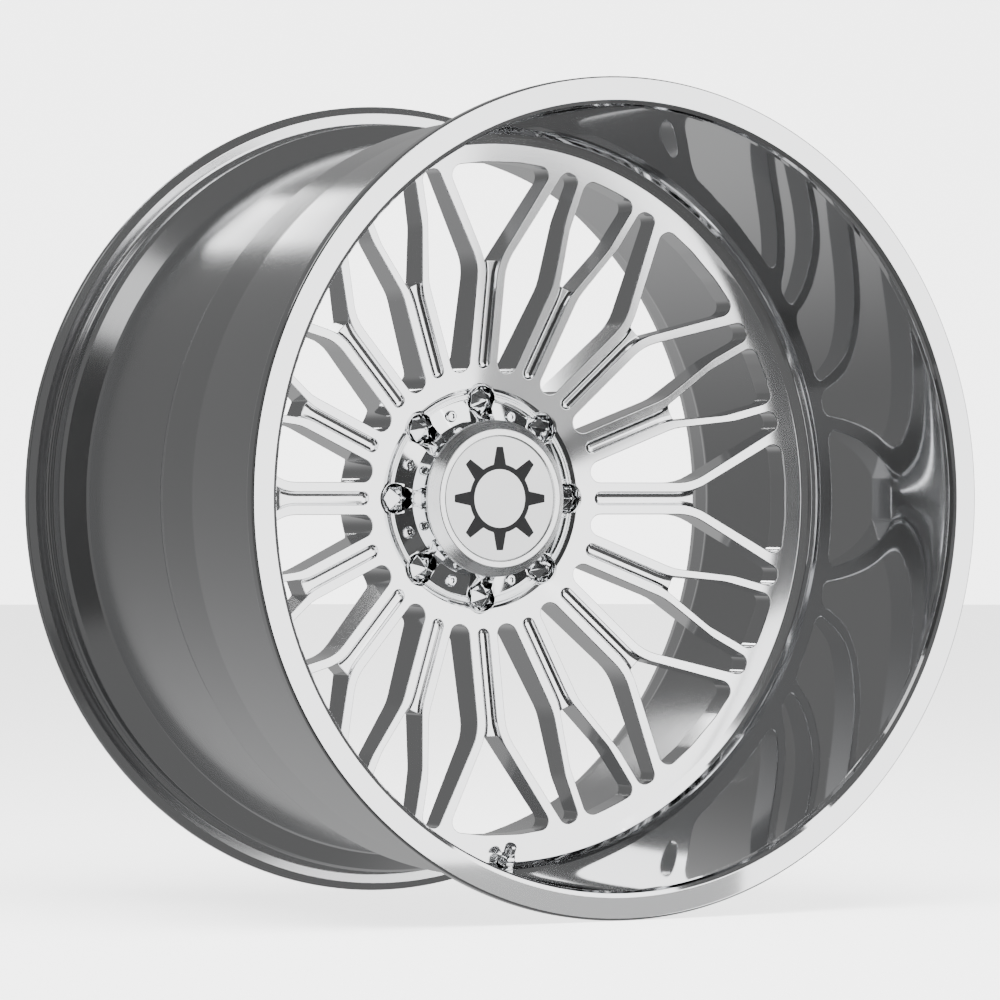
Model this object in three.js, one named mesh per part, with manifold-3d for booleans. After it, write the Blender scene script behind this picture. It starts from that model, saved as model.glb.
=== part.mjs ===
// A 26 x 16 inch forged truck wheel with a deep lip: sixteen Y spokes, eight spiked lug nuts,
// a bolt-on centre cap and a clamp-in valve. Millimetres. The finished group has the wheel's axis
// along Y with the lip facing -Y and the valve at the bottom (-Z). Its origin is on the axis, in the
// plane halfway between the two flanges.
//
// Inside the wheel group the axis is Z instead, pointing outboard, with Y up, and axial heights
// are measured outboard from the same middle plane.

import * as THREE from 'three';
import { mergeVertices } from 'three/addons/utils/BufferGeometryUtils.js';
import Module from 'manifold-3d';

const wasm = await Module();
wasm.setup();

// ---------------------------------------------------------------- driving dimensions

const GAP = 0.3; // clearance between pieces that touch

const RIM_SIDES = 48; // facets round the rim and the disc
const FINE_SIDES = 16; // facets round a lug's bore or a seat
const SMALL_SIDES = 12; // facets round a screw or the valve
const CAP_SIDES = 32; // facets round the centre cap
const FILLET_CHORD = Math.PI / 6; // turn of one chord of a rounded corner

const BEAD_SEAT_R = 332.6; // 26 inch rim, 665.2 across the bead seats
const FLANGE_R = BEAD_SEAT_R + 17.5;
const FLANGE_W = 11;
const HALF_WIDTH = 406.4 / 2 + FLANGE_W; // 16 inches between the flanges
const DROP_R = 315.1; // outside of the drop centre
const DROP_INNER_R = 307.5;
const SEAM_X = -18; // where the outer barrel meets the inner barrel
const OUTER_BARREL_R = 325.8;
const LIP_ROOT_R = 316.8; // inside of the lip, at the disc
const LIP_MOUTH_R = 326.3; // inside of the lip, at the mouth
const LIP_EDGE_R = 330.5; // inner edge of the flat front face

const MOUNT_X = -101; // offset -101: the face that bolts to the hub
const FACE_APEX_R = 126; // the dished face crosses FACE_APEX_X at this radius
const FACE_APEX_X = -24.9;
const FACE_SLOPE = 0.18;
const DISC_R = 311; // rim of the disc node
const DISC_EDGE_R = 305; // outer edge of the dished face
const PAD_R = 101.5; // mounting pad
const BORE_R = 62.55; // 125.1 mm hub bore
const CAP_SEAT_X = -35.3; // floor of the recess under the cap
const CAP_SEAT_R = 92.4;

const SPOKES = 8; // pairs: one wide fork and one narrow fork
const SPOKE_HALF = 14; // half the width of the straight part of a spoke
const WINDOW_END_R = 290.2; // radius of the windows' outer ends
const GROOVE_HALF = 5.8;
const GROOVE_DEPTH = 3.4;
const GROOVE_TIP_R = 112.6;

const LUGS = 8;
const LUG_R = 85; // 8 x 170 mm pattern
const STUD_HOLE_R = 8;
const LUG_BORE_R = 15.5;
const LUG_SEAT_X = -74; // mouth of the 60 degree seat
const LUG_SEAT_R = 14;

const NUT_CORNER_R = 12.12; // 21 mm hexagon
const NUT_POCKET_R = 13;
const NUT_SHOULDER_X = -31;
const NUT_TIP_X = -20.5;

const CAP_RIM_R = 91.4;
const CAP_FLOOR_X = -32.4;
const NECK_R = 68.4;
const NECK_TOP_X = -6.6;
const DOME_FACE_R = 59.4;
const DOME_FACE_X = 2.8;
const MEDALLION_R = 53.6;
const CAP_SCREW_R = 76.8; // circle of the eight cap screws
const REAR_SCREW_R = 57.2; // circle of the four screws behind the dome

const VALVE_SEAT_R = 313; // where the valve's axis meets its outer seat
const VALVE_SEAT_X = 13;
const VALVE_TILT = THREE.MathUtils.degToRad(60); // from the wheel's axis, towards the centre
const VALVE_GRIP = 9.5; // wall left between the valve's two seats
const VALVE_HOLE_R = 5.65;

// ---------------------------------------------------------------- materials

const metal = (colour, roughness) =>
  new THREE.MeshStandardMaterial({ color: colour, roughness: roughness, metalness: 1 });

const polished = metal(0xe4e5e7, 0.08);
const chrome = metal(0xd9dbde, 0.04);
const brushed = metal(0xcfd0d2, 0.3);
const steel = metal(0xb4b6b9, 0.3);
const brass = metal(0xb89a58, 0.35);
const inlay = new THREE.MeshStandardMaterial({ color: 0x2a2b2d, roughness: 0.4, metalness: 0 });
const rubber = new THREE.MeshStandardMaterial({ color: 0x161616, roughness: 0.8, metalness: 0 });

// ---------------------------------------------------------------- solids

/** Merges a geometry's shared vertices, drops flattened triangles and makes its faces point out. */
function solid(geometry) {
  const bare = geometry.clone();
  bare.deleteAttribute('normal');
  bare.deleteAttribute('uv');
  const merged = mergeVertices(bare, 1e-4);
  const vertices = new Float32Array(merged.attributes.position.array);
  const index = merged.index.array;
  const triangles = [];
  let volume = 0;
  const corner = [new THREE.Vector3(), new THREE.Vector3(), new THREE.Vector3()];
  for (let i = 0; i < index.length; i += 3) {
    const [a, b, c] = [index[i], index[i + 1], index[i + 2]];
    if (a === b || b === c || c === a) continue;
    triangles.push(a, b, c);
    corner[0].fromArray(vertices, 3 * a);
    corner[1].fromArray(vertices, 3 * b);
    corner[2].fromArray(vertices, 3 * c);
    volume += corner[0].dot(corner[1].cross(corner[2]));
  }
  if (volume < 0) triangles.reverse();
  const mesh = new wasm.Mesh({
    numProp: 3,
    vertProperties: vertices,
    triVerts: new Uint32Array(triangles),
  });
  return new wasm.Manifold(mesh);
}

/** Turns a solid back into a geometry. */
function toGeometry(body) {
  const mesh = body.getMesh();
  const geometry = new THREE.BufferGeometry();
  geometry.setAttribute('position', new THREE.BufferAttribute(new Float32Array(mesh.vertProperties), 3));
  geometry.setIndex(new THREE.BufferAttribute(new Uint32Array(mesh.triVerts), 1));
  geometry.computeVertexNormals();
  return geometry;
}

/** Revolves a closed outline of [radius, height] points about Z. */
function turned(outline, sides) {
  const points = outline.map(([radius, height]) => new THREE.Vector2(radius, height));
  points.push(points[0].clone());
  return solid(new THREE.LatheGeometry(points, sides).rotateX(Math.PI / 2));
}

/** A cylinder on Z between two heights, with its own radius at each end. */
function rod(lowRadius, highRadius, low, high, sides) {
  const geometry = new THREE.CylinderGeometry(highRadius, lowRadius, high - low, sides);
  geometry.rotateX(Math.PI / 2).translate(0, 0, (low + high) / 2);
  return solid(geometry);
}

/** A straight prism of a shape between two heights. */
function prism(shape, low, high) {
  const options = { depth: high - low, bevelEnabled: false, curveSegments: 2 };
  return solid(new THREE.ExtrudeGeometry(shape, options).translate(0, 0, low));
}

/** A copy of a solid moved to a radius and angle about Z. */
function placed(body, radius, angle) {
  return body.translate([radius, 0, 0]).rotate([0, 0, THREE.MathUtils.radToDeg(angle)]);
}

/** A closed shape through [x, y, fillet] corners, each rounded by its fillet in short chords. */
function roundedShape(corners) {
  const outline = corners.flatMap(([x, y, fillet], i) => {
    const here = new THREE.Vector2(x, y);
    const before = new THREE.Vector2(...corners.at(i - 1).slice(0, 2)).sub(here).normalize();
    const after = new THREE.Vector2(...corners[(i + 1) % corners.length].slice(0, 2)).sub(here).normalize();
    const half = Math.acos(before.dot(after)) / 2;
    const centre = before.clone().add(after).setLength(fillet / Math.sin(half)).add(here);
    const start = here.clone().addScaledVector(before, fillet / Math.tan(half)).sub(centre);
    const turn = (Math.PI - 2 * half) * Math.sign(after.cross(before));
    const chords = Math.max(1, Math.round(Math.abs(turn) / FILLET_CHORD));
    const steps = Array.from({ length: chords + 1 }, (_, step) => (turn * step) / chords);
    return steps.map((angle) => start.clone().rotateAround(new THREE.Vector2(), angle).add(centre));
  });
  return new THREE.Shape(outline);
}

// ---------------------------------------------------------------- spoke face

const STEP = Math.PI / SPOKES; // from a wide-fork spoke to the next narrow-fork spoke

/** Height of the dished face at a radius. */
const faceX = (radius) => FACE_APEX_X + FACE_SLOPE * (radius - FACE_APEX_R);

/** A point given along and across a spoke, turned to that spoke's angle. */
function onSpoke(along, across, angle, fillet) {
  const point = new THREE.Vector2(along, across).rotateAround(new THREE.Vector2(), angle);
  return [point.x, point.y, fillet];
}

/** The window between the wide-fork spoke at angle 0 and the narrow-fork spoke one step on. */
function longWindow() {
  const apex = SPOKE_HALF / Math.sin(STEP / 2);
  return roundedShape([
    onSpoke(apex, 0, STEP / 2, 9.55),
    onSpoke(202.7, SPOKE_HALF, 0, 44),
    onSpoke(286.7, -50.1, STEP, 7.8),
    onSpoke(286.7, -34.1, STEP, 7.8),
    onSpoke(249.6, -29.5, STEP, 50),
    onSpoke(195.3, -SPOKE_HALF, STEP, 44),
  ]);
}

/** A fork's window: side corners given outwards along one side, and an outer edge on a circle. */
function forkWindow(side) {
  const outer = side.at(-1);
  const sweep = Math.atan2(outer[1], outer[0]);
  const edge = [-1 / 3, 1 / 3].map((part) => [
    WINDOW_END_R * Math.cos(part * sweep),
    WINDOW_END_R * Math.sin(part * sweep),
    60,
  ]);
  const mirrored = side.map(([along, across, fillet]) => [along, -across, fillet]);
  return roundedShape([...mirrored, ...edge, ...side.toReversed()]);
}

const wideFork = () => forkWindow([[205.9, 6.9, 1.5], [285.3, 52.9, 8.7]]);
const narrowFork = () => forkWindow([[197.8, 7.5, 1.5], [243.2, 21.2, 50], [289, 26.7, 8.7]]);

/** The milled groove down the middle of a spoke, ending in the fork's window. */
function groove(endAlong) {
  const slot = roundedShape([
    [GROOVE_TIP_R, -GROOVE_HALF, GROOVE_HALF - 0.05],
    [endAlong, -GROOVE_HALF, 0.2],
    [endAlong, GROOVE_HALF, 0.2],
    [GROOVE_TIP_R, GROOVE_HALF, GROOVE_HALF - 0.05],
  ]);
  const pitch = -THREE.MathUtils.radToDeg(Math.atan(FACE_SLOPE));
  const cutter = prism(slot, 0, 30).translate([-GROOVE_TIP_R, 0, 0]).rotate([0, pitch, 0]);
  return cutter.translate([GROOVE_TIP_R, 0, faceX(GROOVE_TIP_R) - GROOVE_DEPTH]);
}

/** Everything cut from the disc between the hub and its rim. */
function spokeCuts() {
  const [low, high] = [-120, 40];
  const cuts = [];
  for (let i = 0; i < SPOKES; i += 1) {
    const angle = 2 * i * STEP;
    const window = prism(longWindow(), low, high);
    cuts.push(placed(window, 0, angle));
    cuts.push(placed(window.mirror([0, 1, 0]), 0, angle));
    cuts.push(placed(prism(wideFork(), low, high), 0, angle));
    cuts.push(placed(prism(narrowFork(), low, high), 0, angle + STEP));
    cuts.push(placed(groove(208), 0, angle));
    cuts.push(placed(groove(200), 0, angle + STEP));
  }
  return cuts;
}

// ---------------------------------------------------------------- the forging

/** Stud hole, seat and socket bore of one lug, on Z. */
function lugHole() {
  const seatDepth = (LUG_SEAT_R - STUD_HOLE_R) / Math.tan(Math.PI / 6);
  const stud = rod(STUD_HOLE_R, STUD_HOLE_R, MOUNT_X - 2, LUG_SEAT_X, SMALL_SIDES);
  const seat = rod(STUD_HOLE_R, LUG_SEAT_R, LUG_SEAT_X - seatDepth, LUG_SEAT_X, SMALL_SIDES);
  const bore = rod(LUG_BORE_R, LUG_BORE_R, LUG_SEAT_X, 0, SMALL_SIDES);
  return stud.add(seat).add(bore);
}

/** The valve's hole with a seat cut round it on both sides, in the wheel's frame. */
function valveCut() {
  const hole = rod(VALVE_HOLE_R, VALVE_HOLE_R, -20, 10, SMALL_SIDES);
  const outerSeat = rod(9.2, 9.2, 0, 12, FINE_SIDES);
  const innerSeat = rod(9.6, 9.6, -30, -VALVE_GRIP, FINE_SIDES);
  const cut = hole.add(outerSeat).add(innerSeat);
  const tilt = -THREE.MathUtils.radToDeg(VALVE_TILT);
  return cut.rotate([tilt, 0, 0]).translate([0, -VALVE_SEAT_R, VALVE_SEAT_X]);
}

/** Hub, spokes and the ring that carries them. */
function wheelDisc() {
  const body = turned([
    [BORE_R, MOUNT_X],
    [PAD_R, MOUNT_X],
    [112, -80],
    [122.5, -61.5],
    [290, -18.8],
    [DISC_R, -15.3],
    [DISC_R, 9.9],
    [DISC_EDGE_R, faceX(DISC_EDGE_R)],
    [96, faceX(96)],
    [CAP_SEAT_R, CAP_SEAT_X + 2.5],
    [CAP_SEAT_R, CAP_SEAT_X],
    [BORE_R, CAP_SEAT_X],
  ], RIM_SIDES);
  const cuts = spokeCuts();
  for (let i = 0; i < LUGS; i += 1) {
    const angle = 2 * i * STEP;
    cuts.push(placed(lugHole(), LUG_R, angle));
    cuts.push(placed(rod(2.9, 2.9, CAP_SEAT_X - 14, 0, SMALL_SIDES), CAP_SCREW_R, angle + STEP));
  }
  cuts.push(valveCut());
  return body.subtract(wasm.Manifold.union(cuts));
}

/** The outboard half of the barrel with the deep lip and its flange. */
function outerBarrel() {
  const body = turned([
    [DISC_R + GAP, SEAM_X],
    [DROP_R + 0.9, SEAM_X],
    [OUTER_BARREL_R, -4],
    [OUTER_BARREL_R, 60],
    [330.6, 176],
    [332.9, 181],
    [332.4, 185],
    [BEAD_SEAT_R, HALF_WIDTH - FLANGE_W - 3],
    [BEAD_SEAT_R + 3, HALF_WIDTH - FLANGE_W],
    [FLANGE_R - 2.5, HALF_WIDTH - FLANGE_W],
    [FLANGE_R, HALF_WIDTH - FLANGE_W + 2.5],
    [FLANGE_R, HALF_WIDTH - 2],
    [FLANGE_R - 2, HALF_WIDTH],
    [LIP_EDGE_R, HALF_WIDTH],
    [LIP_EDGE_R - 3, HALF_WIDTH - 1.2],
    [LIP_MOUTH_R - 0.8, HALF_WIDTH - 4.5],
    [LIP_MOUTH_R - 0.8, HALF_WIDTH - 10],
    [LIP_MOUTH_R, HALF_WIDTH - 12],
    [LIP_ROOT_R, 21],
    [315.4, 15.2],
    [DISC_R + GAP, 10.1],
  ], RIM_SIDES);
  return body.subtract(valveCut());
}

/** The inboard half of the barrel, from the drop centre to the inner flange. */
function innerBarrel() {
  return turned([
    [DROP_INNER_R, SEAM_X - GAP],
    [DROP_INNER_R, -156],
    [322, -178],
    [325, -202],
    [329, -HALF_WIDTH],
    [FLANGE_R - 2, -HALF_WIDTH],
    [FLANGE_R, -HALF_WIDTH + 2],
    [FLANGE_R, -HALF_WIDTH + FLANGE_W - 2.5],
    [FLANGE_R - 2.5, -HALF_WIDTH + FLANGE_W],
    [BEAD_SEAT_R + 3, -HALF_WIDTH + FLANGE_W],
    [BEAD_SEAT_R, -HALF_WIDTH + FLANGE_W + 3],
    [331.2, -184],
    [332.2, -180.5],
    [330.4, -177],
    [DROP_R, -159.7],
    [DROP_R, SEAM_X - 3],
    [DROP_R + 0.9, SEAM_X - GAP],
  ], RIM_SIDES);
}

// ---------------------------------------------------------------- centre cap

/** The U-shaped wall that stands round one nut, open towards the neck, on the nut's axis. */
function nutShroud() {
  const wall = 1.2;
  const outer = NUT_POCKET_R + wall;
  const top = CAP_FLOOR_X + 4.6;
  const ring = rod(outer, outer, CAP_FLOOR_X - 2.6, top, FINE_SIDES);
  const gusset = new THREE.Shape();
  gusset.moveTo(-19.5, -7);
  gusset.lineTo(-6, -outer + 1);
  gusset.lineTo(-6, outer - 1);
  gusset.lineTo(-19.5, 7);
  return ring.add(prism(gusset, CAP_FLOOR_X - 1, top));
}

/** The chrome flange with its rim, eight shrouds and the neck. */
function capBase() {
  const bottom = CAP_SEAT_X + GAP;
  const rimTop = CAP_FLOOR_X + 2.6;
  let body = turned([
    [50, bottom],
    [CAP_RIM_R, bottom],
    [CAP_RIM_R, rimTop - 0.8],
    [CAP_RIM_R - 0.8, rimTop],
    [CAP_RIM_R - 3.4, rimTop],
    [CAP_RIM_R - 4.4, CAP_FLOOR_X],
    [NECK_R + 0.8, CAP_FLOOR_X],
    [NECK_R, CAP_FLOOR_X + 1],
    [NECK_R - 0.6, NECK_TOP_X],
    [65.5, NECK_TOP_X],
    [65.5, CAP_FLOOR_X + 0.2],
    [50, CAP_FLOOR_X + 0.2],
  ], CAP_SIDES);
  const cuts = [];
  for (let i = 0; i < LUGS; i += 1) {
    const angle = 2 * i * STEP;
    body = body.add(placed(nutShroud(), LUG_R, angle));
    cuts.push(placed(rod(NUT_POCKET_R, NUT_POCKET_R, -40, 0, FINE_SIDES), LUG_R, angle));
    cuts.push(placed(rod(2.8, 2.8, -40, 0, SMALL_SIDES), CAP_SCREW_R, angle + STEP));
  }
  for (let i = 0; i < 4; i += 1) {
    cuts.push(placed(rod(2.3, 2.3, -40, CAP_FLOOR_X + 2, SMALL_SIDES), REAR_SCREW_R, 4 * i * STEP));
  }
  return body.subtract(wasm.Manifold.union(cuts));
}

/** The brushed dome: conical shoulder, face ring and a skirt inside the neck. */
function capDome() {
  const skirtFoot = CAP_FLOOR_X + 0.5;
  const body = turned([
    [53.9, skirtFoot],
    [60.5, skirtFoot],
    [60.5, NECK_TOP_X + GAP],
    [NECK_R - 0.6, NECK_TOP_X + GAP],
    [NECK_R - 0.6, NECK_TOP_X + 1.2],
    [DOME_FACE_R + 0.5, DOME_FACE_X - 0.4],
    [DOME_FACE_R, DOME_FACE_X],
    [MEDALLION_R + 0.8, DOME_FACE_X],
    [MEDALLION_R + GAP, DOME_FACE_X - 1],
    [MEDALLION_R + GAP, DOME_FACE_X - 3],
    [0, DOME_FACE_X - 3],
    [0, DOME_FACE_X - 6],
    [53.9, DOME_FACE_X - 6],
  ], CAP_SIDES);
  const holes = [0, 1, 2, 3].map((i) =>
    placed(rod(2.3, 2.3, skirtFoot - 1, skirtFoot + 11, SMALL_SIDES), REAR_SCREW_R, 4 * i * STEP));
  return body.subtract(wasm.Manifold.union(holes));
}

/** The outline of the eight-pointed inlay: a ring with a tapered bar at every lug. */
function inlayShape(grow) {
  const [ringInner, ringOuter, barEnd, barHalf] = [25, 30, 45, 3.4];
  const shape = new THREE.Shape();
  const root = Math.asin((barHalf + 3 + grow) / ringOuter);
  for (let i = 0; i < LUGS; i += 1) {
    const angle = 2 * i * STEP;
    const tip = Math.asin((barHalf + grow) / barEnd);
    const reach = barEnd + grow;
    const ring = ringOuter + grow;
    if (i === 0) shape.moveTo(ring * Math.cos(angle - root), ring * Math.sin(angle - root));
    shape.lineTo(reach * Math.cos(angle - tip), reach * Math.sin(angle - tip));
    shape.lineTo(reach * Math.cos(angle + tip), reach * Math.sin(angle + tip));
    shape.absarc(0, 0, ring, angle + root, angle + 2 * STEP - root, false);
  }
  shape.closePath();
  const hole = new THREE.Path();
  hole.absarc(0, 0, ringInner - grow, 0, 2 * Math.PI, true);
  shape.holes.push(hole);
  return shape;
}

/** The brushed disc in the dome's face, with a pocket for the inlay. */
function capMedallion() {
  const top = DOME_FACE_X - 1;
  const disc = turned([
    [0, DOME_FACE_X - 3 + GAP],
    [MEDALLION_R, DOME_FACE_X - 3 + GAP],
    [MEDALLION_R, top],
    [0, top],
  ], CAP_SIDES);
  return disc.subtract(prism(inlayShape(0.05), top - 0.6, top + 1));
}

const capInlay = () => prism(inlayShape(-GAP + 0.05), DOME_FACE_X - 1.3, DOME_FACE_X - 0.8);

/** The ring that seals the dome's skirt in the neck. */
function capORing() {
  const [radius, section, height] = [63, 1.9, -14];
  const points = [];
  for (let i = 0; i < 6; i += 1) {
    const turn = (2 * Math.PI * i) / 6;
    points.push([radius + section * Math.cos(turn), height + section * Math.sin(turn)]);
  }
  return turned(points, CAP_SIDES);
}

/** A button-head screw on Z: head on top of `seat`, shank below it, hexagon socket. */
function screw(headR, headH, shankR, length, seat) {
  const body = turned([
    [0, seat - length],
    [shankR, seat - length],
    [shankR, seat],
    [headR, seat],
    [headR, seat + 0.45 * headH],
    [0.72 * headR, seat + headH],
    [0, seat + headH],
  ], SMALL_SIDES);
  return body.subtract(rod(0.45 * headR, 0.45 * headR, seat + 0.35 * headH, seat + headH + 1, 6));
}

const capScrew = () => screw(5.25, 2.8, 2.4, 14, CAP_FLOOR_X + GAP);

/** A screw driven outboard from behind the dome, so its head faces inboard. */
const rearScrew = () => screw(3.6, 2.2, 2, 12, 0).rotate([180, 0, 0]).translate([0, 0, CAP_SEAT_X]);

// ---------------------------------------------------------------- lug nuts

/** A spiked nut on Z: 60 degree seat, hexagon, six-sided spike and a blind threaded bore. */
function lugNut() {
  const seatTop = LUG_SEAT_X + 0.6;
  const seatR = 12.9;
  const footR = 8.6;
  const footX = seatTop - (seatR - footR) / Math.tan(Math.PI / 6);
  const foot = turned([
    [0, footX],
    [footR, footX],
    [seatR, seatTop],
    [seatR, seatTop + 3],
    [0, seatTop + 3],
  ], SMALL_SIDES);
  const hexagon = rod(NUT_CORNER_R, NUT_CORNER_R, seatTop + 2, NUT_SHOULDER_X, 6);
  const spike = rod(NUT_CORNER_R, 1.1, NUT_SHOULDER_X, NUT_TIP_X, 6);
  const bore = rod(7, 7, footX - 1, NUT_SHOULDER_X - 12, SMALL_SIDES);
  return foot.add(hexagon).add(spike).subtract(bore);
}

// ---------------------------------------------------------------- valve, on its own axis

const STEM_END = 15;

/** The stem, from its head in the tyre side to its threaded end. */
function valveStem() {
  return turned([
    [2.7, -14.4],
    [8.2, -14.4],
    [8.2, -12],
    [4.1, -11.2],
    [4.1, STEM_END - 0.6],
    [3.6, STEM_END],
    [2.7, STEM_END],
  ], SMALL_SIDES);
}

/** The rubber grommet: a flange on the tyre side and a sleeve through the hole. */
function valveGrommet() {
  return turned([
    [4.4, -11.1],
    [8.4, -11.8],
    [8.4, -VALVE_GRIP - GAP],
    [5.35, -VALVE_GRIP - GAP],
    [5.35, -0.1],
    [4.4, -0.1],
  ], SMALL_SIDES);
}

const valveWasher = () => turned([[4.4, 0.2], [8.3, 0.2], [8.3, 1.4], [7.8, 1.7], [4.4, 1.7]], SMALL_SIDES);

/** The nut that clamps the stem, a hexagon with a chamfered top. */
function valveNut() {
  const hexagon = rod(6.93, 6.93, 2, 7.2, 6);
  const chamfer = rod(9.6, 5.6, 2, 7.6, SMALL_SIDES);
  return hexagon.intersect(chamfer).subtract(rod(4.4, 4.4, 0, 9, SMALL_SIDES));
}

/** The core's body, a tube with a seat for the pin's spring. */
function valveCoreBody() {
  return turned([
    [0.8, 4],
    [2.4, 4],
    [2.4, 12],
    [1.9, 12],
    [1.9, 5],
    [0.8, 5],
  ], SMALL_SIDES);
}

/** The return spring as the sleeve it fills when the pin is pressed home. */
const valveCoreSpring = () => turned([[0.9, 5.3], [1.6, 5.3], [1.6, 8.5], [0.9, 8.5]], SMALL_SIDES);

/** The pin that lets air past when it is pressed. */
function valveCorePin() {
  return turned([
    [0, 2.6],
    [0.5, 2.6],
    [0.5, 10],
    [1.5, 10],
    [1.5, 10.9],
    [0.6, 11.2],
    [0.6, 13.6],
    [0, 13.6],
  ], SMALL_SIDES);
}

/** The valve's cap: a cup that screws over the stem's end. */
function valveCap() {
  return turned([
    [4.4, 9.2],
    [5, 9.2],
    [5, 17.6],
    [3.8, 18.6],
    [0, 18.6],
    [0, 17.2],
    [4.4, 17.2],
  ], FINE_SIDES);
}

const valveCapSeal = () => turned([[0, STEM_END + GAP], [4.1, STEM_END + GAP], [4.1, 16.9], [0, 16.9]], SMALL_SIDES);

// ---------------------------------------------------------------- assembly

const wheel = new THREE.Group();
wheel.rotation.x = Math.PI / 2;

const valve = new THREE.Group();
valve.position.set(0, -VALVE_SEAT_R, VALVE_SEAT_X);
valve.rotation.x = -VALVE_TILT;
wheel.add(valve);

/** Adds one named piece to a group and returns its mesh. */
function addPiece(group, name, body, material) {
  const mesh = new THREE.Mesh(toGeometry(body), material);
  mesh.name = name;
  group.add(mesh);
  return mesh;
}

/** Adds identical pieces, each its own mesh, evenly spaced on a circle and numbered from 1. */
function addRing(name, body, material, count, radius, firstAngle) {
  for (let i = 0; i < count; i += 1) {
    const angle = firstAngle + (2 * Math.PI * i) / count;
    const mesh = addPiece(wheel, `${name}_${i + 1}`, body, material);
    mesh.position.set(radius * Math.cos(angle), radius * Math.sin(angle), 0);
    mesh.rotation.z = angle;
  }
}

addPiece(wheel, 'wheel_disc', wheelDisc(), polished);
addPiece(wheel, 'outer_barrel', outerBarrel(), polished);
addPiece(wheel, 'inner_barrel', innerBarrel(), polished);

addPiece(wheel, 'cap_base', capBase(), chrome);
addPiece(wheel, 'cap_dome', capDome(), brushed);
addPiece(wheel, 'cap_medallion', capMedallion(), brushed);
addPiece(wheel, 'cap_inlay', capInlay(), inlay);
addPiece(wheel, 'cap_o_ring', capORing(), rubber);
addRing('cap_rear_screw', rearScrew(), steel, 4, REAR_SCREW_R, 0);
addRing('cap_screw', capScrew(), chrome, LUGS, CAP_SCREW_R, STEP);
addRing('lug_nut', lugNut(), chrome, LUGS, LUG_R, 0);

addPiece(valve, 'valve_stem', valveStem(), steel);
addPiece(valve, 'valve_grommet', valveGrommet(), rubber);
addPiece(valve, 'valve_washer', valveWasher(), chrome);
addPiece(valve, 'valve_nut', valveNut(), chrome);
addPiece(valve, 'valve_core_body', valveCoreBody(), brass);
addPiece(valve, 'valve_core_spring', valveCoreSpring(), steel);
addPiece(valve, 'valve_core_pin', valveCorePin(), brass);
addPiece(valve, 'valve_cap', valveCap(), chrome);
addPiece(valve, 'valve_cap_seal', valveCapSeal(), rubber);

export default wheel;
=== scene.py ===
"""A 26 x 16 inch forged truck wheel with a deep polished lip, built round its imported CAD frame.

Shapes are worked out in millimetres in the wheel's own frame: u to the right, v up and x outboard
along the wheel's axis, from the plane halfway between the flanges. place() turns them into the
row's metres, where outboard is -Y.
"""

import math

import bpy
import numpy as np
from mathutils import Matrix, Vector
from mathutils.geometry import delaunay_2d_cdt


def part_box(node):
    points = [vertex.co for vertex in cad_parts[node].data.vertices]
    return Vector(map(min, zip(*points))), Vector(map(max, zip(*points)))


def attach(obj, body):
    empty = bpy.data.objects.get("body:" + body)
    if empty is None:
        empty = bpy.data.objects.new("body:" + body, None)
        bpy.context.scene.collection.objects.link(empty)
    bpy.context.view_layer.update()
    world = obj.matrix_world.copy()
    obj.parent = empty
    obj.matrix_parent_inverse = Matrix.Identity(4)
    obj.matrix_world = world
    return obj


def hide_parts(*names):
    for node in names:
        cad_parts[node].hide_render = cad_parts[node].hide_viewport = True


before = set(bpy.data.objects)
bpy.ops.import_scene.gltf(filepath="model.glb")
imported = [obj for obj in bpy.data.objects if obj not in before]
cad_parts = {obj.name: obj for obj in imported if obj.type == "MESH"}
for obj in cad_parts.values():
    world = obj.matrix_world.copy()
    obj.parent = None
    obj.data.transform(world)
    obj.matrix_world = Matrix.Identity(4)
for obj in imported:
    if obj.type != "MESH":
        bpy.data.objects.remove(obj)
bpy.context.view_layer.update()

# ---------------------------------------------------------------- driving dimensions

MM = 0.001
SEAM = 0.02  # gap left between pieces that are one forging
RIM_SIDES = 288  # steps round the disc and the barrel
CAP_SIDES = 192
CHORD = math.radians(10)  # the most a fillet turns from one point to the next
LUGS = 8
STEP = math.pi / LUGS  # from a wide fork's spoke to the next narrow fork's spoke

FLANGE_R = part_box("outer_barrel")[1].x / MM
HALF_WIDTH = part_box("inner_barrel")[1].y / MM
BEAD_SEAT_R = FLANGE_R - 17.5
FLANGE_X = HALF_WIDTH - 11  # inner side of each flange
RAISED_R = 325.8  # the barrel under the lip
DROP_R = 315.1
BARREL_INNER_R = 307.5
SPLIT_X = -18  # where the two halves of the barrel meet

DISC_R = 311
DISC_EDGE_R = 305
HUB_R = 62.55
SEAT_R = 92.35  # recess under the centre cap
SEAT_X = -35.3
MOUNT_X = -101
FACE_APEX = (126, -24.9)
FACE_SLOPE = 0.18

SPOKE_HALF = 14
WINDOW_END_R = 290.2
EDGE_ROUND = 0.8  # rounding of the windows' edges
GROOVE_HALF = 5.8
GROOVE_TIP_R = 112.6

LUG_R = 85
STUD_R = 8
NUT_SEAT_R = 14
NUT_SEAT_X = -74
NUT_BORE_R = 15.4

CAP_SCREW_R = 76.8
CAP_RIM_R = 91.4
CAP_FLOOR_X = -32.4
CAP_FLOOR_RISE = 0.26  # how fast the floor climbs towards the neck
POCKET_R = 13  # the cap's hole round each nut
NECK_IN_R = 65.5
NECK_R = 68.4
NECK_TOP_X = -6.6
FACE_RING_R = 59.4
FACE_RING_X = 2.8
MEDALLION_R = 53.6
REAR_SCREW_R = 57.2
O_RING = (63, -14, 1.9)  # radius, x and thickness from its middle

VALVE_SEAT = (0, -313, 13)
VALVE_TILT = math.radians(60)

# ---------------------------------------------------------------- outlines


def turn(vectors):
    """Each direction in the plane turned a quarter turn clockwise."""
    return np.stack([vectors[..., 1], -vectors[..., 0]], -1)


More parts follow.
